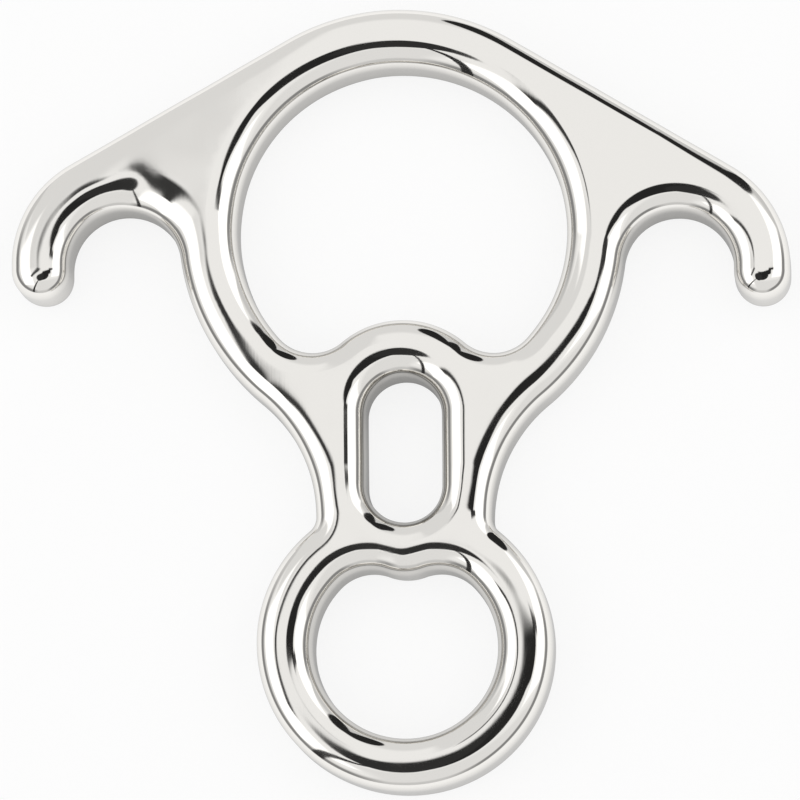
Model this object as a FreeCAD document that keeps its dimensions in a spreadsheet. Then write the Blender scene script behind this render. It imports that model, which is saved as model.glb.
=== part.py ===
"""Rescue figure-eight descender with two bent horns, forged in one piece, as a FreeCAD document.

The plate lies on its back: +X is its width, +Y runs from the carabiner eye to the rope eye, and +Z is
its thickness. The origin is under the centre of the carabiner eye, on the face that the plate rests on.
The right half is drawn, padded and cut by its half of each opening, mirrored, and rounded on every edge.
"""

import FreeCAD, Part
import math
import os

import Sketcher

NODE = "descender_body"

# Driving dimensions, in millimetres. A height is measured along +Y, from the carabiner eye's centre.
SIZES = {
    "thickness": 12.5,
    "outer_round": 4.2,
    "opening_round": 4.0,
    "ring_radius": 26.8,  # outside of the ring around the carabiner eye
    "ring_height": 0.4,
    "waist_half_width": 15.9,
    "waist_height": 23.6,
    "rim_radius": 40.3,  # outside of the ring around the rope eye
    "rim_height": 75.9,
    "hook_radius": 10.0,  # inside of a horn
    "hook_height": 69.4,
    "horn_width": 11.2,
    "horn_taper": 0.8,  # how much narrower a horn is at its tip
    "tip_height": 68.4,
    "rope_eye_radius": 29.7,
    "rope_eye_height": 75.9,
    "saddle_radius": 17.2,  # hump that the rope bends over, centred on the top of the slot
    "saddle_corner_radius": 8.0,
    "slot_radius": 6.8,
    "slot_top_height": 42.4,
    "slot_foot_height": 29.5,
    "eye_radius": 16.6,  # carabiner eye
    "bump_height": 12.9,  # lowest point of the bump at the top of the carabiner eye
    "bump_radius": 9.2,
    "shoulder_radius": 8.2,
}

# Sketcher's numbers for the points of a curve, for the origin and for the sketch's upright axis.
START, END, CENTRE = 1, 2, 3
ORIGIN = (-1, START)
UP_AXIS = -2

QUARTER_TURN = math.pi / 2
FLATNESS = 0.99  # a face is level when its normal's Z is above this


def make_sheet(doc):
    """Spreadsheet of the driving dimensions, one alias a row."""
    sheet = doc.addObject("Spreadsheet::Sheet", "sizes")
    for row, (alias, value) in enumerate(SIZES.items(), start=1):
        sheet.set(f"A{row}", alias)
        sheet.set(f"B{row}", str(value))
        sheet.setAlias(f"B{row}", alias)
    doc.recompute()


def origin_plane(body, role):
    """The body's own origin plane with the given role."""
    return next(feature for feature in body.Origin.OriginFeatures if feature.Role == role)


def arc(x, y, radius, start, end):
    """Arc about (x, y), anticlockwise from the start angle to the end angle in radians."""
    circle = Part.Circle(FreeCAD.Vector(x, y, 0), FreeCAD.Vector(0, 0, 1), radius)
    return Part.ArcOfCircle(circle, start, end)


def line(x_start, y_start, x_end, y_end):
    """Straight line between two points."""
    return Part.LineSegment(FreeCAD.Vector(x_start, y_start, 0), FreeCAD.Vector(x_end, y_end, 0))


def side_arc_radius(x, y, circle_y, circle_radius):
    """Radius of the arc that is upright at (x, y) and touches a circle centred on the Y axis."""
    rise = y - circle_y
    return (x * x + rise * rise - circle_radius * circle_radius) / (2 * (circle_radius - x))


def point_between(y_first, reach_first, y_second, reach_second):
    """The point right of the Y axis at the given distances from two points on that axis."""
    span = y_second - y_first
    along = (reach_first**2 - reach_second**2 + span**2) / (2 * span)
    return math.sqrt(reach_first**2 - along**2), y_first + along


class HalfOutline:
    """Sketch of the right half of a closed outline.

    Its curves run from one point on the Y axis to another, each tangent to the one before it, and
    finish() closes them with a straight line along that axis.
    """

    def __init__(self, body, name):
        self.sketch = body.newObject("Sketcher::SketchObject", name)
        self.sketch.AttachmentSupport = (origin_plane(body, "XY_Plane"), [""])
        self.sketch.MapMode = "FlatFace"
        self.ends = []

    def add(self, curve, clockwise=False):
        """Adds the next curve and returns its number. A clockwise arc is followed from its end."""
        number = self.sketch.addGeometry(curve, False)
        entry, leave = (END, START) if clockwise else (START, END)
        if self.ends:
            self.rule("Tangent", *self.ends[-1], number, entry)
        self.ends += [(number, entry), (number, leave)]
        return number

    def rule(self, kind, *places):
        """Adds a geometric constraint."""
        self.sketch.addConstraint(Sketcher.Constraint(kind, *places))

    def size(self, kind, name, value, expression, *places):
        """Adds a dimension that follows an expression over the spreadsheet."""
        index = self.sketch.addConstraint(Sketcher.Constraint(kind, *places, value))
        self.sketch.renameConstraint(index, name)
        self.sketch.setExpression(f"Constraints.{name}", expression)

    def radius(self, curve, alias):
        """Ties a curve's radius to a cell."""
        self.size("Radius", alias, SIZES[alias], f"sizes.{alias}", curve)

    def height(self, curve, point, alias):
        """Ties a point's height above the origin to a cell."""
        self.size("DistanceY", alias, SIZES[alias], f"sizes.{alias}", *ORIGIN, curve, point)

    def reach(self, curve, point, alias):
        """Ties a point's distance from the Y axis to a cell."""
        self.size("DistanceX", alias, SIZES[alias], f"sizes.{alias}", *ORIGIN, curve, point)

    def on_axis(self, curve, point):
        """Keeps a point on the Y axis."""
        self.rule("PointOnObject", curve, point, UP_AXIS)

    def level(self, curve, point, other_curve, other_point):
        """Keeps two points at the same height."""
        self.rule("Horizontal", curve, point, other_curve, other_point)

    def finish(self):
        """Closes the outline along the Y axis, and insists that nothing in it is free to move."""
        first, last = self.ends[0], self.ends[-1]
        self.on_axis(*first)
        self.on_axis(*last)
        corners = [self.sketch.getPoint(*end) for end in (last, first)]
        closing = self.sketch.addGeometry(Part.LineSegment(*corners), False)
        self.rule("Coincident", *last, closing, START)
        self.rule("Coincident", closing, END, *first)
        if self.sketch.solve() != 0 or not self.sketch.FullyConstrained:
            raise RuntimeError(f"{self.sketch.Label} isn't fully constrained")
        return self.sketch


def plate_outline(body):
    """Outside of the plate: carabiner ring, waist, rope ring, horn, and the straight edge over the horn."""
    s = SIZES
    ring_y, ring = s["ring_height"], s["ring_radius"]
    rim_y, rim = s["rim_height"], s["rim_radius"]
    waist_x, waist_y = s["waist_half_width"], s["waist_height"]
    hook, hook_y = s["hook_radius"], s["hook_height"]
    tip = (s["horn_width"] - s["horn_taper"]) / 2
    back = hook + s["horn_width"]

    crease = side_arc_radius(waist_x, waist_y, ring_y, ring)
    flank = side_arc_radius(waist_x, waist_y, rim_y, rim)
    crease_angle = math.atan2(waist_y - ring_y, waist_x + crease)
    flank_angle = math.atan2(waist_y - rim_y, waist_x + flank)
    hook_x = math.sqrt((rim + hook) ** 2 - (hook_y - rim_y) ** 2)
    hook_angle = math.atan2(hook_y - rim_y, hook_x)
    tip_x = hook_x + hook + tip
    back_x = hook_x - s["horn_taper"]
    spread = math.hypot(back_x, hook_y - rim_y)
    edge_angle = math.atan2(hook_y - rim_y, back_x) + math.acos((rim - back) / spread)
    edge_cos, edge_sin = math.cos(edge_angle), math.sin(edge_angle)

    half = HalfOutline(body, "plate_outline")
    ring_arc = half.add(arc(0, ring_y, ring, -QUARTER_TURN, crease_angle))
    crease_curve = arc(waist_x + crease, waist_y, crease, math.pi, math.pi + crease_angle)
    half.add(crease_curve, clockwise=True)
    flank_curve = arc(waist_x + flank, waist_y, flank, math.pi + flank_angle, math.pi)
    flank_arc = half.add(flank_curve, clockwise=True)
    rim_arc = half.add(arc(0, rim_y, rim, flank_angle, hook_angle))
    hook_arc = half.add(arc(hook_x, hook_y, hook, 0, math.pi + hook_angle), clockwise=True)
    half.add(line(hook_x + hook, hook_y, hook_x + hook, s["tip_height"]))
    tip_arc = half.add(arc(tip_x, s["tip_height"], tip, -math.pi, 0))
    half.add(line(tip_x + tip, s["tip_height"], tip_x + tip, hook_y))
    back_arc = half.add(arc(back_x, hook_y, back, 0, edge_angle))
    half.add(
        line(
            back_x + back * edge_cos,
            hook_y + back * edge_sin,
            rim * edge_cos,
            rim_y + rim * edge_sin,
        )
    )
    top_arc = half.add(arc(0, rim_y, rim, edge_angle, QUARTER_TURN))

    half.on_axis(ring_arc, CENTRE)
    half.height(ring_arc, CENTRE, "ring_height")
    half.radius(ring_arc, "ring_radius")
    half.reach(flank_arc, END, "waist_half_width")
    half.height(flank_arc, END, "waist_height")
    half.level(flank_arc, CENTRE, flank_arc, END)
    half.on_axis(rim_arc, CENTRE)
    half.height(rim_arc, CENTRE, "rim_height")
    half.radius(rim_arc, "rim_radius")
    half.radius(hook_arc, "hook_radius")
    half.height(hook_arc, CENTRE, "hook_height")
    half.level(hook_arc, CENTRE, hook_arc, START)
    half.size("Radius", "tip_radius", tip, "(sizes.horn_width - sizes.horn_taper) / 2", tip_arc)
    half.height(tip_arc, CENTRE, "tip_height")
    half.size("Radius", "back_radius", back, "sizes.hook_radius + sizes.horn_width", back_arc)
    half.level(back_arc, CENTRE, hook_arc, CENTRE)
    half.level(back_arc, CENTRE, back_arc, START)
    half.rule("Coincident", top_arc, CENTRE, rim_arc, CENTRE)
    half.rule("Equal", top_arc, rim_arc)
    return half.finish()


def rope_eye_outline(body):
    """Rope eye: a circle whose foot is filled by the saddle, with a rounded corner beside it."""
    s = SIZES
    eye_y, eye = s["rope_eye_height"], s["rope_eye_radius"]
    saddle_y, saddle = s["slot_top_height"], s["saddle_radius"]
    corner = s["saddle_corner_radius"]
    corner_x, corner_y = point_between(saddle_y, saddle + corner, eye_y, eye - corner)
    saddle_angle = math.atan2(corner_y - saddle_y, corner_x)
    eye_angle = math.atan2(corner_y - eye_y, corner_x)

    half = HalfOutline(body, "rope_eye_outline")
    saddle_arc = half.add(arc(0, saddle_y, saddle, saddle_angle, QUARTER_TURN), clockwise=True)
    corner_arc = half.add(arc(corner_x, corner_y, corner, saddle_angle - math.pi, eye_angle))
    eye_arc = half.add(arc(0, eye_y, eye, eye_angle, QUARTER_TURN))

    half.on_axis(saddle_arc, CENTRE)
    half.height(saddle_arc, CENTRE, "slot_top_height")
    half.radius(saddle_arc, "saddle_radius")
    half.radius(corner_arc, "saddle_corner_radius")
    half.on_axis(eye_arc, CENTRE)
    half.height(eye_arc, CENTRE, "rope_eye_height")
    half.radius(eye_arc, "rope_eye_radius")
    return half.finish()


def slot_outline(body):
    """Slot in the neck: a straight run between two half circles."""
    s = SIZES
    slot = s["slot_radius"]

    half = HalfOutline(body, "slot_outline")
    foot_arc = half.add(arc(0, s["slot_foot_height"], slot, -QUARTER_TURN, 0))
    side = half.add(line(slot, s["slot_foot_height"], slot, s["slot_top_height"]))
    top_arc = half.add(arc(0, s["slot_top_height"], slot, 0, QUARTER_TURN))

    half.on_axis(foot_arc, CENTRE)
    half.height(foot_arc, CENTRE, "slot_foot_height")
    half.radius(foot_arc, "slot_radius")
    half.rule("Vertical", side)
    half.on_axis(top_arc, CENTRE)
    half.height(top_arc, CENTRE, "slot_top_height")
    return half.finish()


def carabiner_eye_outline(body):
    """Carabiner eye: a circle with a shallow bump that reaches down from its top."""
    s = SIZES
    eye, shoulder, bump = s["eye_radius"], s["shoulder_radius"], s["bump_radius"]
    bump_y = s["bump_height"] + bump
    shoulder_x, shoulder_y = point_between(0, eye - shoulder, bump_y, bump + shoulder)
    eye_angle = math.atan2(shoulder_y, shoulder_x)
    bump_angle = math.atan2(shoulder_y - bump_y, shoulder_x)

    half = HalfOutline(body, "carabiner_eye_outline")
    eye_arc = half.add(arc(0, 0, eye, -QUARTER_TURN, eye_angle))
    shoulder_arc = half.add(arc(shoulder_x, shoulder_y, shoulder, eye_angle, bump_angle + math.pi))
    bump_arc = half.add(arc(0, bump_y, bump, -QUARTER_TURN, bump_angle), clockwise=True)

    half.rule("Coincident", eye_arc, CENTRE, *ORIGIN)
    half.radius(eye_arc, "eye_radius")
    half.radius(shoulder_arc, "shoulder_radius")
    half.on_axis(bump_arc, CENTRE)
    half.radius(bump_arc, "bump_radius")
    half.height(bump_arc, START, "bump_height")
    return half.finish()


def pad_half_plate(body):
    """Right half of the plate, standing on its back face."""
    pad = body.newObject("PartDesign::Pad", "half_plate")
    pad.Profile = plate_outline(body)
    pad.setExpression("Length", "sizes.thickness")
    body.Document.recompute()
    return pad


def cut_half_opening(body, sketch, name):
    """Cuts the right half of an opening up through the plate, and checks that metal went."""
    before = body.Shape.Volume
    pocket = body.newObject("PartDesign::Pocket", name)
    pocket.Profile = sketch
    pocket.Reversed = True
    pocket.setExpression("Length", "sizes.thickness")
    body.Document.recompute()
    if body.Shape.Volume >= before:
        raise RuntimeError(f"{name} cut nothing")
    return pocket


def mirror_plate(body, features):
    """Adds the left half, by mirroring the features of the right half across the YZ plane."""
    mirrored = body.newObject("PartDesign::Mirrored", "whole_plate")
    mirrored.Originals = features
    mirrored.MirrorPlane = (origin_plane(body, "YZ_Plane"), [""])
    mirrored.Refine = True
    body.Tip = mirrored
    body.Document.recompute()
    return mirrored


def level_faces(shape):
    """The plate's flat front and back faces."""
    planes = [face for face in shape.Faces if isinstance(face.Surface, Part.Plane)]
    return [face for face in planes if abs(face.normalAt(0, 0).z) > FLATNESS]


def round_edges(body, base, name, alias, outer):
    """Rounds the front and back edges of the plate's outside, or those of its openings."""
    borders = [
        wire
        for face in level_faces(base.Shape)
        for wire in face.Wires
        if wire.isSame(face.OuterWire) == outer
    ]
    wanted = [edge for wire in borders for edge in wire.Edges]
    names = [
        f"Edge{number}"
        for number, edge in enumerate(base.Shape.Edges, start=1)
        if any(edge.isSame(other) for other in wanted)
    ]
    fillet = body.newObject("PartDesign::Fillet", name)
    fillet.Base = (base, names)
    fillet.setExpression("Radius", f"sizes.{alias}")
    body.Document.recompute()
    return fillet


def make_descender(doc):
    """The whole forging, as one body."""
    body = doc.addObject("PartDesign::Body", NODE)
    body.Label = NODE
    body.Placement = FreeCAD.Placement()
    doc.recompute()
    features = [pad_half_plate(body)]
    features.append(cut_half_opening(body, rope_eye_outline(body), "half_rope_eye"))
    features.append(cut_half_opening(body, slot_outline(body), "half_slot"))
    features.append(cut_half_opening(body, carabiner_eye_outline(body), "half_carabiner_eye"))
    plate = mirror_plate(body, features)
    rounded = round_edges(body, plate, "outer_edges", "outer_round", outer=True)
    round_edges(body, rounded, "opening_edges", "opening_round", outer=False)
    return body


def check(doc, parts):
    """Stops the build if any object of the document has failed."""
    for thing in doc.Objects:
        failed = [state for state in thing.State if state in ("Invalid", "Error")]
        if failed:
            raise RuntimeError(f"{thing.Label} is {failed}")
    for part in parts:
        if part.Shape.isNull() or not part.Shape.isValid() or len(part.Shape.Solids) != 1:
            raise RuntimeError(f"{part.Label} isn't one valid solid")


def main():
    """Builds the document and writes each sub-part."""
    doc = FreeCAD.newDocument("descender")
    make_sheet(doc)
    parts = [make_descender(doc)]
    doc.recompute()
    check(doc, parts)
    os.makedirs("parts", exist_ok=True)
    for part in parts:
        part.Shape.exportStep(os.path.join("parts", part.Label + ".step"))
        box = part.Shape.optimalBoundingBox()
        size = f"{box.XLength:.1f} x {box.YLength:.1f} x {box.ZLength:.1f} mm"
        print(f"{part.Label}: {size}, {part.Shape.Volume:.0f} mm3, foot at Y = {box.YMin:.1f}")


main()
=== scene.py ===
"""A mirror-polished rescue descender, lying on a pale table inside a white studio tent.

The forging is drawn from the same arcs as the CAD plate, so its edges can be crowned the way that hand
polishing leaves them. Everything is in metres: +X is the width, +Y the length and +Z is up.
"""

import math

import bpy
import numpy as np
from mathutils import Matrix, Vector, noise
from mathutils.geometry import delaunay_2d_cdt


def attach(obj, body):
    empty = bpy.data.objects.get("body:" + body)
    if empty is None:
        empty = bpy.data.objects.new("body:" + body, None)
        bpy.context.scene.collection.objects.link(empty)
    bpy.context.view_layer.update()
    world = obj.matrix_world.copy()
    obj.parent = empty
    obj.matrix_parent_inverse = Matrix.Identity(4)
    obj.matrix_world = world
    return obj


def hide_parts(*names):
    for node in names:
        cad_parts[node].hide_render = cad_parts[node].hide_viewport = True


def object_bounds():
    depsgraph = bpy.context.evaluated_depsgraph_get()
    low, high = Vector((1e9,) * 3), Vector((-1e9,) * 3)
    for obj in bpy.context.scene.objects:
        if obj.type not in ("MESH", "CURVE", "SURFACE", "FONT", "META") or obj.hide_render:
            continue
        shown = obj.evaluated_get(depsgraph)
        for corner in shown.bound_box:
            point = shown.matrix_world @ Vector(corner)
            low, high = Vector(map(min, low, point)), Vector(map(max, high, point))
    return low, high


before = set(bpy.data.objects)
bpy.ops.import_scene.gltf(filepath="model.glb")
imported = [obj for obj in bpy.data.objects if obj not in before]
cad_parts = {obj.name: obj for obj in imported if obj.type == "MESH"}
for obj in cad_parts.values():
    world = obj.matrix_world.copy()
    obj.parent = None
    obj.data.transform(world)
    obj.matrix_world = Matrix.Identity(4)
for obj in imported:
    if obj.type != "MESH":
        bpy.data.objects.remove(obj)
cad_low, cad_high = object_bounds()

MM = 0.001
DEGREE = math.pi / 180
QUARTER_TURN = math.pi / 2
WHITE = (1.0, 1.0, 1.0, 1.0)

# Outline of the plate. A height is measured along +Y, from the centre of the carabiner eye.
RING_RADIUS = 26.8 * MM  # outside of the ring around the carabiner eye
RING_HEIGHT = 0.4 * MM
WAIST_HALF_WIDTH = 15.9 * MM
WAIST_HEIGHT = 23.6 * MM
RIM_RADIUS = 40.3 * MM  # outside of the ring around the rope eye
RIM_HEIGHT = 75.9 * MM
HOOK_RADIUS = 10.0 * MM  # inside of a horn
HOOK_HEIGHT = 69.4 * MM
HORN_WIDTH = 11.2 * MM
HORN_TAPER = 0.8 * MM
TIP_HEIGHT = 68.4 * MM
ROPE_EYE_RADIUS = 29.7 * MM
ROPE_EYE_HEIGHT = RIM_HEIGHT
SADDLE_RADIUS = 17.2 * MM
SADDLE_CORNER_RADIUS = 8.0 * MM
SLOT_RADIUS = 6.8 * MM
SLOT_TOP_HEIGHT = 42.4 * MM
SLOT_FOOT_HEIGHT = 29.5 * MM
EYE_RADIUS = 16.6 * MM
BUMP_HEIGHT = 12.9 * MM
BUMP_RADIUS = 9.2 * MM
SHOULDER_RADIUS = 8.2 * MM

# Cross-section: an upright wall, then a crown, a quarter superellipse, up to the flat. A reach is how far
# the crown goes in from the outline. It changes evenly from one value to the next between the heights given
# with them.
OUTER_HEIGHTS = (18 * MM, 26 * MM, 85 * MM, 95 * MM)  # ring, horns, and the long edges above them
OUTER_REACHES = (4.7 * MM, 5.3 * MM, 5.3 * MM, 4.0 * MM)
ROPE_EYE_HEIGHTS = (58 * MM, 66 * MM, 96 * MM, 104 * MM)  # saddle, sides and top
ROPE_EYE_REACHES = (4.5 * MM, 5.4 * MM, 5.4 * MM, 5.0 * MM)
SLOT_HEIGHTS = (42 * MM, 49 * MM)
SLOT_REACHES = (4.8 * MM, 5.1 * MM)
EYE_REACH = 4.6 * MM
LEFT_ROOT_REACH = 2.4 * MM  # how much further the crown reaches in at the root of a horn
RIGHT_ROOT_REACH = 0.2 * MM
ROOT_SPREAD = 7.0 * MM
ROOT_X = 43.7 * MM
ROOT_HEIGHT = 77.3 * MM
CROWN_SHARE = 0.97  # most of a narrow stretch's width that its two crowns may take
LEAST_INWARD = 1e-3 * MM  # a point less far into the metal than this doesn't limit a crown
CROWN_RISE = 4.4 * MM
CROWN_POWER = 2.5  # 2 would be an ellipse
OPENING_CROWN_POWER = 2.2
CROWN_ROWS = 22
WALL_ROWS = 3
OUTLINE_STEP = 0.45 * MM
FLAT_STEP = 1.2 * MM
SLIVER_AREA = 1e-5 * MM * MM  # less than this lies on a straight border, outside the metal
MERGE_DISTANCE = 1e-9

# Unevenness that polishing by hand leaves, and the steel itself.
WAVE_LENGTH = 9.0 * MM
WAVE_DEPTH = 0.04 * MM
DENT = Vector((-47.7 * MM, 82.3 * MM, cad_high.z))  # at the root of the left horn
DENT_RADIUS = 3.2 * MM
DENT_DEPTH = 0.22 * MM
STEEL_COLOUR = (0.89, 0.872, 0.838, 1.0)
HAZE_SIZE = 11.0 * MM
HAZE_NOISE = (0.35, 0.7)  # from clear to fully hazy
HAZE_ROUGHNESS = (0.03, 0.08)
SCRATCH_WIDTH = 0.35 * MM
SCRATCH_LENGTH = 9.0 * MM
SCRATCH_DEPTH = 0.0006 * MM

# Camera: where it stands, from the slot in the plate's neck, and how its shifted lens looks at the plate.
CAMERA_AIM = Vector((0, 35 * MM, (cad_low.z + cad_high.z) / 2))
CAMERA_DISTANCE = 0.95
CAMERA_TILT = 11.5 * DEGREE  # towards -Y
CAMERA_SIDE = 6.0 * DEGREE  # towards +X
CAMERA_TURN = (1.626 * DEGREE, -2.795 * DEGREE, -0.684 * DEGREE)
CAMERA_SENSOR = 36  # its width, and the focal length, in millimetres
CAMERA_LENS = 228.9
CAMERA_SHIFT = (-1.001, 1.179)
CAMERA_STILL = 0.001  # how far it may move in height and still count as standing where it was put

# What the steel sees of the tent. Places and sizes are in degrees from straight up, along +X and +Y. A panel
# is given by its middle, half size, turn and blur, a bar by its two ends and half width, and an oval by its
# middle, half size and turn. A light is a brightness, where 1 is white.
TENT_RADIUS = 1.3
TENT_BEND = (56.0, 74.0)  # from the roof to the walls, in degrees from straight up
ROOF_LIGHT = 0.93
WALL_LIGHT = 0.62
FAR_PANEL = ((-8, 80), (26, 36), 0, 8.0)
LEFT_PANEL = ((-37, 55), (17, 45), 16, 1.5)
PANEL_LIGHT = 0.77
NEAR_PANEL = ((25, -45), (45, 26), 0, 6.0)
NEAR_PANEL_LIGHT = 0.80
LEFT_LAMP = ((-41, -8), (18, 30), 0, 2.5)
RIGHT_LAMP = ((46, 16), (20, 27), 0, 2.5)
LAMP_LIGHT = 1.30
SKIRT = (71, 88, 3.0)  # dark band low down, in degrees from straight up, and its blur
SKIRT_ACROSS = (15, 45)  # it comes in from the middle to the sides
SKIRT_ALONG = (20, 50)  # and goes out towards the far end
SKIRT_LIGHT = 0.25
LEFT_BAR = ((-10.2, 14.4), (-25, -4), 1.9)
RIGHT_BAR = ((12, 11.2), (27, 12), 2.2)
BAR_LIGHT = 0.04
BAR_BLUR = 1.0
OVAL_BLUR = 0.08  # share of its half size
LEAST_SINE = 1e-4  # stands in for the sine of the angle from straight up where that is 0

# Large dark things that stand around the camera, and the thin hoop that is there when they are not.
LENS_PANEL = ((8, 4.6), (12, 5.4), 6, 1.0)
LENS_OVAL = ((2, -4), (13, 12))
SIDE_OVAL = ((-6, -6.5), (8, 11.5))
FAR_OVAL = ((13, 62), (10.5, 20))
SLANTED_OVAL = ((32, 58), (23, 8.5), 51)
DARK_LIGHT = 0.02
SIDE_OVAL_LIGHT = 0.03
HOOP = (26, 37, 1.0)  # degrees from straight up, and its blur
HOOP_LIGHT = 0.05

# Dark pole beside the plate, and the table. The table's brightness is painted light: a glow, which the steel
# sees dimmed by painted shade close to the plate.
STAND_FOOT = Vector((-0.160, -0.150, 0.02))
STAND_TOP = Vector((-0.150, -0.130, 0.95))
STAND_RADIUS = 0.0125
STAND_LIGHT = 0.03
TABLE_HALF = 1.5
TABLE_LIGHT = 0.95  # as the steel sees it, away from the plate
TABLE_SEEN_LIGHT = 0.82  # as the camera sees it
TABLE_GREY = 0.18
TABLE_ROUGHNESS = 0.8
SHADE_DISTANCE = 25 * MM


def arc(x, y, radius, start, end):
    """Points along an arc, and their normals into the metal, which lies to the left of travel."""
    count = max(2, math.ceil(abs(end - start) * radius / OUTLINE_STEP))
    angles = np.linspace(start, end, count, endpoint=False)
    outward = np.stack([np.cos(angles), np.sin(angles)], axis=1)
    return np.array([x, y]) + radius * outward, -math.copysign(1.0, end - start) * outward


def line(x_start, y_start, x_end, y_end):
    """Points along a straight line, and their normals into the metal on its left."""
    start, end = np.array([x_start, y_start]), np.array([x_end, y_end])
    length = np.linalg.norm(end - start)
    count = max(1, math.ceil(length / OUTLINE_STEP))
    share = np.linspace(0, 1, count, endpoint=False)[:, None]
    along = (end - start) / length
    return start + share * (end - start), np.tile([-along[1], along[0]], (count, 1))


def whole(pieces, last_point, last_normal):
    """Closed loop made of the right half's pieces, which start on the Y axis, and of their mirror image."""
    points = np.vstack([piece[0] for piece in pieces] + [last_point])
    normals = np.vstack([piece[1] for piece in pieces] + [last_normal])
    flip = np.array([-1, 1])
    return np.vstack([points, points[-2:0:-1] * flip]), np.vstack([normals, normals[-2:0:-1] * flip])


def side_arc_radius(x, y, circle_y, circle_radius):
    """Radius of the arc that is upright at (x, y) and touches a circle centred on the Y axis."""
    rise = y - circle_y
    return (x * x + rise * rise - circle_radius * circle_radius) / (2 * (circle_radius - x))


def point_between(y_first, reach_first, y_second, reach_second):
    """The point right of the Y axis at the given distances from two points on that axis."""
    span = y_second - y_first
    along = (reach_first**2 - reach_second**2 + span**2) / (2 * span)
    return math.sqrt(reach_first**2 - along**2), y_first + along


def plate_outline():
    """Outside of the plate, anticlockwise from its foot."""
    crease = side_arc_radius(WAIST_HALF_WIDTH, WAIST_HEIGHT, RING_HEIGHT, RING_RADIUS)
    flank = side_arc_radius(WAIST_HALF_WIDTH, WAIST_HEIGHT, RIM_HEIGHT, RIM_RADIUS)
    crease_angle = math.atan2(WAIST_HEIGHT - RING_HEIGHT, WAIST_HALF_WIDTH + crease)
    flank_angle = math.atan2(WAIST_HEIGHT - RIM_HEIGHT, WAIST_HALF_WIDTH + flank)
    drop = HOOK_HEIGHT - RIM_HEIGHT
    hook_x = math.sqrt((RIM_RADIUS + HOOK_RADIUS) ** 2 - drop**2)
    hook_angle = math.atan2(drop, hook_x)
    tip = (HORN_WIDTH - HORN_TAPER) / 2
    tip_x = hook_x + HOOK_RADIUS + tip
    back = HOOK_RADIUS + HORN_WIDTH
    back_x = hook_x - HORN_TAPER
    edge_angle = math.atan2(drop, back_x) + math.acos((RIM_RADIUS - back) / math.hypot(back_x, drop))
    edge = np.array([math.cos(edge_angle), math.sin(edge_angle)])
    edge_foot = np.array([back_x, HOOK_HEIGHT]) + back * edge
    edge_top = np.array([0, RIM_HEIGHT]) + RIM_RADIUS * edge
    pieces = [
        arc(0, RING_HEIGHT, RING_RADIUS, -QUARTER_TURN, crease_angle),
        arc(WAIST_HALF_WIDTH + crease, WAIST_HEIGHT, crease, math.pi + crease_angle, math.pi),
        arc(WAIST_HALF_WIDTH + flank, WAIST_HEIGHT, flank, math.pi, math.pi + flank_angle),
        arc(0, RIM_HEIGHT, RIM_RADIUS, flank_angle, hook_angle),
        arc(hook_x, HOOK_HEIGHT, HOOK_RADIUS, math.pi + hook_angle, 0),
        line(hook_x + HOOK_RADIUS, HOOK_HEIGHT, hook_x + HOOK_RADIUS, TIP_HEIGHT),
        arc(tip_x, TIP_HEIGHT, tip, -math.pi, 0),
        line(tip_x + tip, TIP_HEIGHT, tip_x + tip, HOOK_HEIGHT),
        arc(back_x, HOOK_HEIGHT, back, 0, edge_angle),
        line(*edge_foot, *edge_top),
        arc(0, RIM_HEIGHT, RIM_RADIUS, edge_angle, QUARTER_TURN),
    ]
    return whole(pieces, [0, RIM_HEIGHT + RIM_RADIUS], [0, -1])


def rope_eye_outline():
    """Rope eye, clockwise from its top: a circle whose foot is filled by the saddle."""
    corner_x, corner_y = point_between(
        SLOT_TOP_HEIGHT,
        SADDLE_RADIUS + SADDLE_CORNER_RADIUS,
        ROPE_EYE_HEIGHT,
        ROPE_EYE_RADIUS - SADDLE_CORNER_RADIUS,
    )
    saddle_angle = math.atan2(corner_y - SLOT_TOP_HEIGHT, corner_x)
    eye_angle = math.atan2(corner_y - ROPE_EYE_HEIGHT, corner_x)
    pieces = [
        arc(0, ROPE_EYE_HEIGHT, ROPE_EYE_RADIUS, QUARTER_TURN, eye_angle),
        arc(corner_x, corner_y, SADDLE_CORNER_RADIUS, eye_angle, saddle_angle - math.pi),
        arc(0, SLOT_TOP_HEIGHT, SADDLE_RADIUS, saddle_angle, QUARTER_TURN),
    ]
    return whole(pieces, [0, SLOT_TOP_HEIGHT + SADDLE_RADIUS], [0, -1])


def slot_outline():
    """Slot in the neck, clockwise from its top."""
    pieces = [
        arc(0, SLOT_TOP_HEIGHT, SLOT_RADIUS, QUARTER_TURN, 0),
        line(SLOT_RADIUS, SLOT_TOP_HEIGHT, SLOT_RADIUS, SLOT_FOOT_HEIGHT),
        arc(0, SLOT_FOOT_HEIGHT, SLOT_RADIUS, 0, -QUARTER_TURN),
    ]
    return whole(pieces, [0, SLOT_FOOT_HEIGHT - SLOT_RADIUS], [0, -1])


def carabiner_eye_outline():
    """Carabiner eye, clockwise from the bump at its top."""
    bump_y = BUMP_HEIGHT + BUMP_RADIUS
    shoulder_x, shoulder_y = point_between(
        0, EYE_RADIUS - SHOULDER_RADIUS, bump_y, BUMP_RADIUS + SHOULDER_RADIUS
    )
    eye_angle = math.atan2(shoulder_y, shoulder_x)
    bump_angle = math.atan2(shoulder_y - bump_y, shoulder_x)
    pieces = [
        arc(0, bump_y, BUMP_RADIUS, -QUARTER_TURN, bump_angle),
        arc(shoulder_x, shoulder_y, SHOULDER_RADIUS, bump_angle + math.pi, eye_angle),
        arc(0, 0, EYE_RADIUS, eye_angle, -QUARTER_TURN),
    ]
    return whole(pieces, [0, -EYE_RADIUS], [0, -1])


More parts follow.
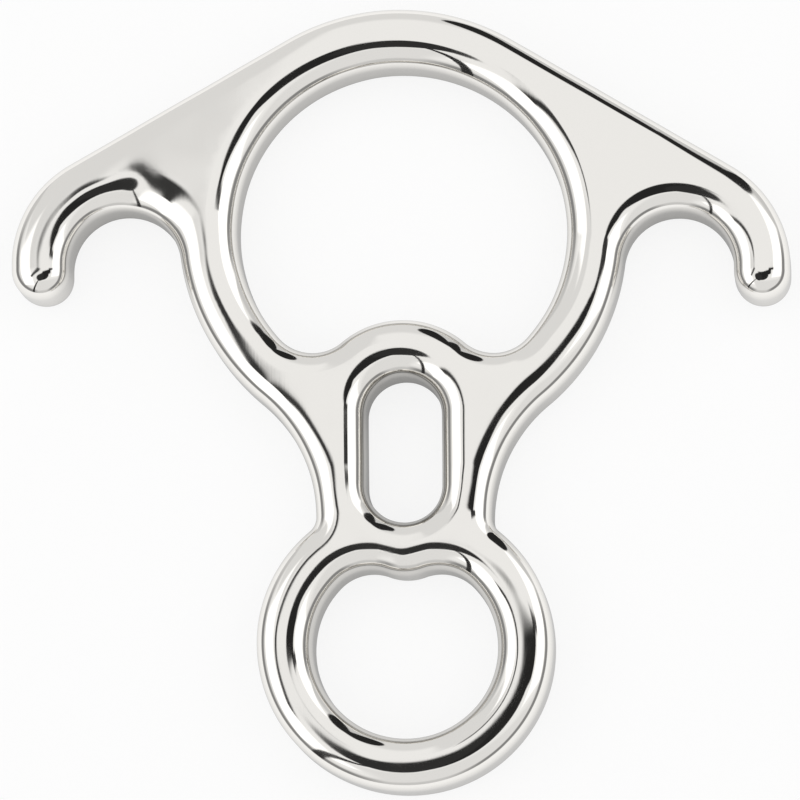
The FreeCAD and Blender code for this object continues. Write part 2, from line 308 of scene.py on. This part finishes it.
def reach_limits(loops):
    """How far the crown may reach in at each point of the outline and of the three openings."""
    outer, rope_eye, slot, eye = (points for points, _ in loops)
    along_outer = np.interp(outer[:, 1], OUTER_HEIGHTS, OUTER_REACHES)
    from_root = np.hypot(abs(outer[:, 0]) - ROOT_X, outer[:, 1] - ROOT_HEIGHT)
    root_reach = np.where(outer[:, 0] < 0, LEFT_ROOT_REACH, RIGHT_ROOT_REACH)
    along_outer += root_reach * np.exp(-np.square(from_root / ROOT_SPREAD))
    along_rope_eye = np.interp(rope_eye[:, 1], ROPE_EYE_HEIGHTS, ROPE_EYE_REACHES)
    along_slot = np.interp(slot[:, 1], SLOT_HEIGHTS, SLOT_REACHES)
    return [along_outer, along_rope_eye, along_slot, np.full(len(eye), EYE_REACH)]


def crown_reaches(loops):
    """How far the crown reaches in at each point of each loop: less where the metal is narrow.

    The metal's half-width at a point is the radius of the largest circle that touches the outline there
    and holds no other point of it. Where the metal is narrow, the crowns on its two sides split its width
    in proportion to what each may reach.
    """
    everything = np.vstack([points for points, _ in loops])
    limits = reach_limits(loops)
    every_limit = np.concatenate(limits)
    reaches = []
    for (points, normals), limit in zip(loops, limits):
        offsets = everything[None] - points[:, None]
        inward = (offsets * normals[:, None]).sum(axis=2)
        squares = np.square(offsets).sum(axis=2)
        ahead = inward > LEAST_INWARD
        radii = np.where(ahead, squares / (2 * np.maximum(inward, LEAST_INWARD)), np.inf)
        across = every_limit[radii.argmin(axis=1)]
        width = 2 * radii.min(axis=1)
        reaches.append(np.minimum(limit, CROWN_SHARE * width * limit / (limit + across)))
    return reaches


def section_rows(power):
    """Share of the crown's reach and height of each row of the edge, from back flat to front flat."""
    turn = np.linspace(0, QUARTER_TURN, CROWN_ROWS)
    depth = 1 - np.cos(turn) ** (2 / power)
    rise = CROWN_RISE * np.sin(turn) ** (2 / power)
    wall_top = cad_high.z - CROWN_RISE
    wall_foot = cad_low.z + CROWN_RISE
    wall = np.linspace(wall_foot, wall_top, WALL_ROWS + 1)[1:-1]
    depths = np.concatenate([depth[::-1], np.zeros(len(wall)), depth])
    heights = np.concatenate([wall_foot - rise[::-1], wall, wall_top + rise])
    return depths, heights


def inside(points, loop):
    """Whether each point lies inside a closed loop, by counting the crossings to its right."""
    x, y = points[:, :1], points[:, 1:]
    x_a, y_a = loop[:, 0], loop[:, 1]
    x_b, y_b = np.roll(x_a, -1), np.roll(y_a, -1)
    spans = (y_a > y) != (y_b > y)
    with np.errstate(divide="ignore", invalid="ignore"):
        crossing = x_a + (y - y_a) * (x_b - x_a) / (y_b - y_a)
    return (spans & (x < crossing)).sum(axis=1) % 2 == 1


def clear_of(points, loop, gap):
    """Whether each point is further than a gap from every point of a loop."""
    offsets = points[:, None, :] - loop[None, :, :]
    return (np.square(offsets).sum(axis=2) > gap * gap).all(axis=1)


def in_metal(points, borders):
    """Whether each point lies inside the first border and outside the others, which are its holes."""
    metal = inside(points, borders[0])
    for hole in borders[1:]:
        metal &= ~inside(points, hole)
    return metal


def flat_grid(borders):
    """Even grid of points over the flat face, clear of its borders."""
    low, high = borders[0].min(axis=0), borders[0].max(axis=0)
    columns = np.arange(low[0], high[0], FLAT_STEP)
    rows = np.arange(low[1], high[1], FLAT_STEP)
    grid = np.stack(np.meshgrid(columns, rows), axis=-1).reshape(-1, 2)
    grid = grid[in_metal(grid, borders)]
    for border in borders:
        grid = grid[clear_of(grid, border, FLAT_STEP / 2)]
    return grid


def border_edges(borders):
    """Edges of closed borders whose points are numbered one border after another."""
    edges, first = [], 0
    for border in borders:
        numbers = np.arange(first, first + len(border))
        edges += zip(numbers.tolist(), np.roll(numbers, -1).tolist())
        first += len(border)
    return edges


def flat_triangles(borders, grid):
    """Triangles of the flat face, numbered over the points of its borders and then over its grid."""
    points = np.vstack([*borders, grid])
    made = delaunay_2d_cdt([Vector(point) for point in points], border_edges(borders), [], 0, MERGE_DISTANCE)
    if len(made[0]) != len(points):
        raise RuntimeError(f"the flat face's triangulation changed its points: {len(made[0])} {len(points)}")
    origin = [old[0] for old in made[3]]
    triangles = np.array([[origin[corner] for corner in face] for face in made[2]])
    corner, side_a, side_b = (points[triangles[:, place]] for place in range(3))
    area = np.cross(side_a - corner, side_b - corner) / 2
    return triangles[in_metal(points[triangles].mean(axis=1), borders) & (area > SLIVER_AREA)]


def edge_band(points, normals, reach, power):
    """Points of the edge along one loop, a row for each level, and each point's number in the band."""
    depths, heights = section_rows(power)
    shape = (len(depths), len(points))
    flat = points[None] + depths[:, None, None] * (reach[:, None] * normals)[None]
    level = np.broadcast_to(heights[:, None, None], (*shape, 1))
    return np.concatenate([flat, level], axis=2).reshape(-1, 3), np.arange(math.prod(shape)).reshape(shape)


def forging_mesh():
    """The whole forging as one closed mesh."""
    loops = [plate_outline(), rope_eye_outline(), slot_outline(), carabiner_eye_outline()]
    reaches = crown_reaches(loops)
    powers = [CROWN_POWER] + [OPENING_CROWN_POWER] * (len(loops) - 1)
    vertices, faces, front, back = [], [], [], []
    first = 0
    for (points, normals), reach, power in zip(loops, reaches, powers):
        band, number = edge_band(points, normals, reach, power)
        vertices.append(band)
        number += first
        ahead = np.roll(number, -1, axis=1)
        quads = np.stack([number[:-1], ahead[:-1], ahead[1:], number[1:]], axis=-1)
        faces += quads.reshape(-1, 4).tolist()
        back.append(number[0])
        front.append(number[-1])
        first += len(band)
    borders = [points + reach[:, None] * normals for (points, normals), reach in zip(loops, reaches)]
    grid = flat_grid(borders)
    triangles = flat_triangles(borders, grid)
    for level, border, turn in ((cad_high.z, front, 1), (cad_low.z, back, -1)):
        vertices.append(np.column_stack([grid, np.full(len(grid), level)]))
        numbers = np.concatenate([*border, first + np.arange(len(grid))])
        faces += numbers[triangles][:, ::turn].tolist()
        first += len(grid)
    mesh = bpy.data.meshes.new("forging")
    mesh.from_pydata(np.vstack(vertices).tolist(), [], faces)
    mesh.validate()
    mesh.shade_smooth()
    return mesh


def wave(point):
    """How far polishing moved the surface out at a point, which is never more than 0: waves and a dent."""
    waves = WAVE_DEPTH * (noise.noise(point / WAVE_LENGTH) - 1)
    from_dent = (point - DENT).length / DENT_RADIUS
    return waves - DENT_DEPTH * math.exp(-from_dent * from_dent)


def add_waves(mesh):
    """Moves every vertex along its normal, into the metal, by the polishing waves and the dent."""
    normals = [Vector(normal.vector) for normal in mesh.vertex_normals]
    for vertex, normal in zip(mesh.vertices, normals):
        vertex.co += wave(vertex.co) * normal
    mesh.update()


class Num:
    """A number in a node tree, so that a sum of nodes reads like arithmetic."""

    def __init__(self, tree, socket):
        self.tree = tree
        self.socket = socket

    def node(self, operation, *others):
        """A math node over this number and others."""
        node = self.tree.nodes.new("ShaderNodeMath")
        node.operation = operation
        for place, value in zip(node.inputs, (self, *others)):
            if isinstance(value, Num):
                self.tree.links.new(value.socket, place)
            else:
                place.default_value = value
        return Num(self.tree, node.outputs[0])

    def __add__(self, other):
        return self.node("ADD", other)

    def __sub__(self, other):
        return self.node("SUBTRACT", other)

    def __mul__(self, other):
        return self.node("MULTIPLY", other)

    def __truediv__(self, other):
        return self.node("DIVIDE", other)

    def rest(self):
        """What this share leaves of 1."""
        return self * -1.0 + 1.0

    def mixed(self, other, share):
        """This number blended towards another value by a share from 0 to 1."""
        return self * share.rest() + share * other

    def ramp(self, low, high, start=0.0, end=1.0):
        """A smooth step from start to end as this number goes from low to high."""
        node = self.tree.nodes.new("ShaderNodeMapRange")
        node.interpolation_type = "SMOOTHSTEP"
        self.tree.links.new(self.socket, node.inputs["Value"])
        names = ("From Min", "From Max", "To Min", "To Max")
        for name, value in zip(names, (low, high, start, end)):
            node.inputs[name].default_value = value
        return Num(self.tree, node.outputs["Result"])

    def within(self, low, high, blur):
        """1 where this number lies between two limits, fading to 0 over a blur at each."""
        return self.ramp(low - blur, low + blur) * self.ramp(high - blur, high + blur, 1.0, 0.0)


def add_shader(owner, shader_type, output_type="ShaderNodeOutputMaterial"):
    """Gives a material or world a new shader, the only one in its node tree."""
    owner.use_nodes = True
    tree = owner.node_tree
    tree.nodes.clear()
    shader = tree.nodes.new(shader_type)
    output = tree.nodes.new(output_type)
    tree.links.new(shader.outputs[0], output.inputs[0])
    return shader


class Sky:
    """Directions seen from the middle of the tent, in degrees from straight up along +X and +Y."""

    def __init__(self, tree):
        place = tree.nodes.new("ShaderNodeTexCoord")
        unit = tree.nodes.new("ShaderNodeVectorMath")
        unit.operation = "NORMALIZE"
        split = tree.nodes.new("ShaderNodeSeparateXYZ")
        tree.links.new(place.outputs["Object"], unit.inputs[0])
        tree.links.new(unit.outputs[0], split.inputs[0])
        x, y, z = (Num(tree, socket) for socket in split.outputs)
        self.polar = z.node("ARCCOSINE") / DEGREE
        reach = (x * x + y * y).node("SQRT").node("MAXIMUM", LEAST_SINE)
        self.across = self.polar * x / reach
        self.along = self.polar * y / reach

    def turned(self, middle, turn):
        """Across and along, measured from a middle and turned anticlockwise by an angle in degrees."""
        cosine, sine = math.cos(turn * DEGREE), math.sin(turn * DEGREE)
        off_across, off_along = self.across - middle[0], self.along - middle[1]
        return off_across * cosine + off_along * sine, off_along * cosine - off_across * sine

    def oval(self, middle, half, turn=0.0):
        """1 inside an ellipse, and 0 outside it."""
        u, v = self.turned(middle, turn)
        u, v = u / half[0], v / half[1]
        return (u * u + v * v).node("SQRT").ramp(1 - OVAL_BLUR, 1 + OVAL_BLUR, 1.0, 0.0)

    def panel(self, middle, half, turn, blur):
        """1 inside a rectangle, and 0 outside it."""
        u, v = self.turned(middle, turn)
        return u.within(-half[0], half[0], blur) * v.within(-half[1], half[1], blur)

    def bar(self, start, end, half_width):
        """1 along a straight bar between two directions, and 0 beside it."""
        run, rise = end[0] - start[0], end[1] - start[1]
        middle = ((start[0] + end[0]) / 2, (start[1] + end[1]) / 2)
        half = (math.hypot(run, rise) / 2, half_width)
        return self.panel(middle, half, math.atan2(rise, run) / DEGREE, BAR_BLUR)


def drive_while_still(driver, camera, amount):
    """Sets a driver to an amount for as long as the camera stands where it was put, and else to 0."""
    variable = driver.variables.new()
    variable.name = "height"
    variable.type = "TRANSFORMS"
    variable.targets[0].id = camera
    variable.targets[0].transform_type = "LOC_Z"
    variable.targets[0].transform_space = "WORLD_SPACE"
    driver.type = "SCRIPTED"
    driver.expression = f"{amount} * (abs(height - {camera.location.z:.6f}) < {CAMERA_STILL})"


def while_still(tree, camera):
    """1 for as long as the camera stands where it was put, and 0 for a view from elsewhere."""
    node = tree.nodes.new("ShaderNodeValue")
    drive_while_still(node.outputs[0].driver_add("default_value").driver, camera, 1.0)
    return Num(tree, node.outputs[0])


def tent_walls(sky):
    """Brightness of the white tent in each direction, with its duller panels, its lamps and its skirt."""
    light = sky.polar.ramp(*TENT_BEND, ROOF_LIGHT, WALL_LIGHT)
    light = light.mixed(PANEL_LIGHT, sky.panel(*FAR_PANEL))
    light = light.mixed(PANEL_LIGHT, sky.panel(*LEFT_PANEL))
    light = light.mixed(NEAR_PANEL_LIGHT, sky.panel(*NEAR_PANEL))
    light = light.mixed(LAMP_LIGHT, sky.panel(*LEFT_LAMP))
    light = light.mixed(LAMP_LIGHT, sky.panel(*RIGHT_LAMP))
    sides = sky.across.node("ABSOLUTE").ramp(*SKIRT_ACROSS) * sky.along.ramp(*SKIRT_ALONG, 1.0, 0.0)
    return light.mixed(SKIRT_LIGHT, sky.polar.within(*SKIRT) * sides)


def tent_light(tree, camera):
    """Brightness that the steel sees in each direction: the tent, and the dark things in front of it.

    The large dark things stand around the camera, and leave with it when the plate is seen from elsewhere.
    A thin dark hoop then takes their place.
    """
    sky = Sky(tree)
    still = while_still(tree, camera)
    light = tent_walls(sky)
    light = light.mixed(BAR_LIGHT, sky.bar(*LEFT_BAR))
    light = light.mixed(BAR_LIGHT, sky.bar(*RIGHT_BAR))
    light = light.mixed(DARK_LIGHT, sky.panel(*LENS_PANEL) * still)
    light = light.mixed(DARK_LIGHT, sky.oval(*LENS_OVAL) * still)
    light = light.mixed(SIDE_OVAL_LIGHT, sky.oval(*SIDE_OVAL) * still)
    light = light.mixed(DARK_LIGHT, sky.oval(*FAR_OVAL) * still)
    light = light.mixed(DARK_LIGHT, sky.oval(*SLANTED_OVAL) * still)
    return light.mixed(HOOP_LIGHT, sky.polar.within(*HOOP) * still.rest())


def add_tent(camera):
    """White tent around the plate. Only its reflection and its light are seen."""
    bpy.ops.mesh.primitive_uv_sphere_add(
        segments=64, ring_count=32, radius=TENT_RADIUS, location=CAMERA_AIM
    )
    tent = bpy.context.object
    tent.name = "tent"
    tent.visible_camera = False
    material = bpy.data.materials.new("tent")
    glow = add_shader(material, "ShaderNodeEmission")
    tree = material.node_tree
    tree.links.new(tent_light(tree, camera).socket, glow.inputs["Strength"])
    tent.data.materials.append(material)


def add_stand():
    """Dark upright pole beside the plate, which only shows in the steel."""
    run = STAND_TOP - STAND_FOOT
    bpy.ops.mesh.primitive_cylinder_add(
        radius=STAND_RADIUS,
        depth=run.length,
        location=(STAND_FOOT + STAND_TOP) / 2,
        rotation=run.to_track_quat("Z", "Y").to_euler(),
    )
    stand = bpy.context.object
    stand.name = "stand"
    stand.visible_camera = False
    stand.visible_shadow = False
    material = bpy.data.materials.new("stand")
    glow = add_shader(material, "ShaderNodeEmission")
    glow.inputs["Strength"].default_value = STAND_LIGHT
    stand.data.materials.append(material)


def add_backdrop():
    """Plain white beyond the tent."""
    world = bpy.data.worlds.new("backdrop")
    background = add_shader(world, "ShaderNodeBackground", "ShaderNodeOutputWorld")
    background.inputs["Color"].default_value = WHITE
    bpy.context.scene.world = world


def haze(tree, place):
    """Roughness of the steel: patches of haze that the polishing left."""
    patches = tree.nodes.new("ShaderNodeTexNoise")
    patches.inputs["Scale"].default_value = 1 / HAZE_SIZE
    tree.links.new(place, patches.inputs["Vector"])
    return Num(tree, patches.outputs[0]).ramp(*HAZE_NOISE, *HAZE_ROUGHNESS)


def scratches(tree, place):
    """Bump of faint scratches that run along +Y."""
    stretch = tree.nodes.new("ShaderNodeVectorMath")
    stretch.operation = "MULTIPLY"
    stretch.inputs[1].default_value = (1 / SCRATCH_WIDTH, 1 / SCRATCH_LENGTH, 1 / SCRATCH_LENGTH)
    grain = tree.nodes.new("ShaderNodeTexNoise")
    grain.inputs["Scale"].default_value = 1.0
    bump = tree.nodes.new("ShaderNodeBump")
    bump.inputs["Distance"].default_value = SCRATCH_DEPTH
    tree.links.new(place, stretch.inputs[0])
    tree.links.new(stretch.outputs[0], grain.inputs["Vector"])
    tree.links.new(grain.outputs[0], bump.inputs["Height"])
    return bump.outputs[0]


def polished_steel():
    """Hand-polished steel: a mirror with patches of haze and faint scratches."""
    material = bpy.data.materials.new("mirror_steel")
    shader = add_shader(material, "ShaderNodeBsdfPrincipled")
    tree = material.node_tree
    place = tree.nodes.new("ShaderNodeTexCoord").outputs["Object"]
    shader.inputs["Base Color"].default_value = STEEL_COLOUR
    shader.inputs["Metallic"].default_value = 1.0
    tree.links.new(haze(tree, place).socket, shader.inputs["Roughness"])
    tree.links.new(scratches(tree, place), shader.inputs["Normal"])
    return material


def add_forging():
    """The descender itself, in place of its plain CAD solid."""
    mesh = forging_mesh()
    add_waves(mesh)
    mesh.materials.append(polished_steel())
    piece = bpy.data.objects.new("forging", mesh)
    bpy.context.collection.objects.link(piece)
    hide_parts("descender_body")
    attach(piece, "root")


def table_material():
    """Pale table lit by painted light: it glows, and the glow that the steel sees is dimmed close to the
    plate by painted shade. The camera sees it paler than the steel does.
    """
    material = bpy.data.materials.new("table")
    shader = add_shader(material, "ShaderNodeBsdfPrincipled")
    tree = material.node_tree
    path = tree.nodes.new("ShaderNodeLightPath")
    seen = Num(tree, path.outputs["Is Camera Ray"])
    # painted shade: ambient occlusion dims the table's painted glow close to the plate, for all but camera
    # rays
    shade = tree.nodes.new("ShaderNodeAmbientOcclusion")
    shade.inputs["Distance"].default_value = SHADE_DISTANCE
    glow = (Num(tree, shade.outputs["AO"]) * TABLE_LIGHT).mixed(TABLE_SEEN_LIGHT, seen)
    shader.inputs["Roughness"].default_value = TABLE_ROUGHNESS
    shader.inputs["Emission Color"].default_value = WHITE
    tree.links.new((seen * TABLE_GREY).socket, shader.inputs["Base Color"])
    tree.links.new(glow.socket, shader.inputs["Emission Strength"])
    return material


def add_table():
    """Pale table under the plate."""
    mesh = bpy.data.meshes.new("table")
    corners = [(-1, -1), (1, -1), (1, 1), (-1, 1)]
    mesh.from_pydata([(x * TABLE_HALF, y * TABLE_HALF, cad_low.z) for x, y in corners], [], [(0, 1, 2, 3)])
    mesh.materials.append(table_material())
    table = bpy.data.objects.new("table", mesh)
    bpy.context.collection.objects.link(table)


def add_camera():
    """Camera above the plate, towards its foot and right. Its lens is shifted only while it stands there."""
    data = bpy.data.cameras.new("camera")
    data.sensor_width = CAMERA_SENSOR
    data.lens = CAMERA_LENS
    camera = bpy.data.objects.new("camera", data)
    back = Vector((math.tan(CAMERA_SIDE), -math.tan(CAMERA_TILT), 1)).normalized()
    camera.location = CAMERA_AIM + CAMERA_DISTANCE * back
    camera.rotation_euler = CAMERA_TURN
    bpy.context.collection.objects.link(camera)
    for axis, amount in zip("xy", CAMERA_SHIFT):
        drive_while_still(data.driver_add(f"shift_{axis}").driver, camera, amount)
    bpy.context.scene.camera = camera
    return camera


add_forging()
add_table()
add_tent(add_camera())
add_stand()
add_backdrop()
bpy.context.scene.view_settings.view_transform = "Standard"
